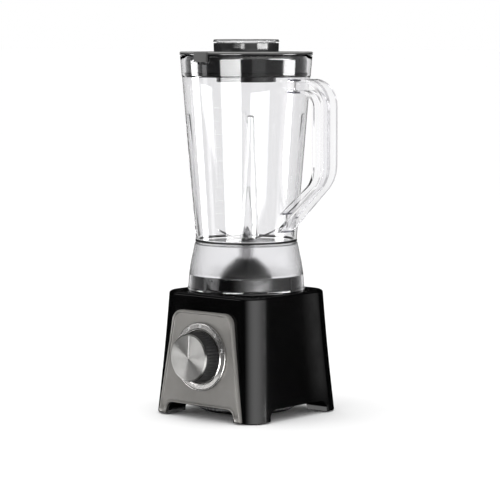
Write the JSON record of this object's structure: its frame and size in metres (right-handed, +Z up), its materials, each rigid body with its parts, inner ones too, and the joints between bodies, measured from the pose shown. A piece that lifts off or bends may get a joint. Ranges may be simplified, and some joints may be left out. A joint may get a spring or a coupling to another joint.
{
  "type": "countertop blender",
  "caption": "Countertop blender: tapered motor base with a front dial, clear fluted jar with a side handle and blades, black lid with a clear measuring cap.",
  "frame": {"origin": "middle of the whole object's outline seen from above, on the surface it stands on; the jar's axis stands 19.2 mm towards -X and 4.6 mm towards +Y of it", "axes": "+Z up along the jar, the dial faces -Y, the jar's handle points to +X"},
  "size_m": [0.1809, 0.169, 0.379],
  "materials": {
    "gloss_black": "high gloss moulded black",
    "satin_grey": "warm grey satin paint",
    "chrome": "polished",
    "spun_aluminium": "turned, radial sheen",
    "black_plastic": "fine moulded texture",
    "rubber": "soft matte",
    "steel": "ground",
    "clear_jar": "clear moulded",
    "frosted_clear": "clear moulded, slightly frosted inside",
    "copper": "enamelled wire",
    "lamination": "varnished sheet stack",
    "carbon": "pressed carbon"
  },
  "bodies": {
    "base": {"base_housing": "gloss_black", "control_panel": "satin_grey", "dial_bezel": "chrome", "bottom_plate": "black_plastic", "rotary_switch": "black_plastic", "cord_gland": "rubber", "safety_switch": "black_plastic", "motor_stator": "lamination", "upper_motor_bracket": "black_plastic", "lower_motor_bracket": "black_plastic", "upper_bearing": "steel", "lower_bearing": "steel", "motor_bolt_1": "steel", "motor_bolt_2": "steel", "brush_holder_left": "black_plastic", "brush_holder_right": "black_plastic", "carbon_brush_left": "carbon", "carbon_brush_right": "carbon", "field_coil_front": "copper", "field_coil_back": "copper", "foot_1": "rubber", "plate_screw_1": "steel", "motor_mount_1": "rubber", "foot_2": "rubber", "plate_screw_2": "steel", "motor_mount_2": "rubber", "foot_3": "rubber", "plate_screw_3": "steel", "motor_mount_3": "rubber", "foot_4": "rubber", "plate_screw_4": "steel", "motor_mount_4": "rubber"},
    "rotor": {"motor_shaft": "steel", "armature": "lamination", "commutator": "copper", "cooling_fan": "black_plastic", "drive_coupling": "black_plastic"},
    "knob": {"knob_body": "black_plastic", "knob_face": "spun_aluminium", "knob_spindle": "steel"},
    "jar": {"jar": "clear_jar", "handle": "clear_jar", "jar_gasket": "rubber", "jar_collar": "frosted_clear", "bearing_bush": "steel", "shaft_seal": "rubber"},
    "blades": {"blade_shaft": "steel", "blade_lower": "steel", "blade_upper": "steel", "blade_nut": "steel", "jar_coupling": "black_plastic"},
    "lid": {"lid": "gloss_black", "lid_seal": "rubber"},
    "cap": {"measuring_cap": "clear_jar"}
  },
  "joints": [
    {"name": "motor_spin", "type": "hinge", "parent": "base", "child": "rotor", "pos_m": [-0.0192, 0.0046, 0.07], "axis": [0, 0, 1], "continuous": true},
    {"name": "knob_turn", "type": "hinge", "parent": "base", "child": "knob", "pos_m": [-0.0192, -0.06609, 0.063], "axis": [0, 0.9991, -0.043], "range_deg": [-30, 75]},
    {"name": "jar_lift", "type": "slide", "parent": "base", "child": "jar", "axis": [0, 0, 1], "range_m": [0, 0.06]},
    {"name": "blade_spin", "type": "hinge", "parent": "jar", "child": "blades", "pos_m": [-0.0192, 0.0046, 0.18], "axis": [0, 0, 1], "continuous": true},
    {"name": "lid_lift", "type": "slide", "parent": "jar", "child": "lid", "axis": [0, 0, 1], "range_m": [0, 0.06]},
    {"name": "cap_lift", "type": "slide", "parent": "lid", "child": "cap", "axis": [0, 0, 1], "range_m": [0, 0.05]}
  ],
  "couplings": [
    {"joint": "blade_spin", "follows": "motor_spin", "ratio": 1}
  ]
}
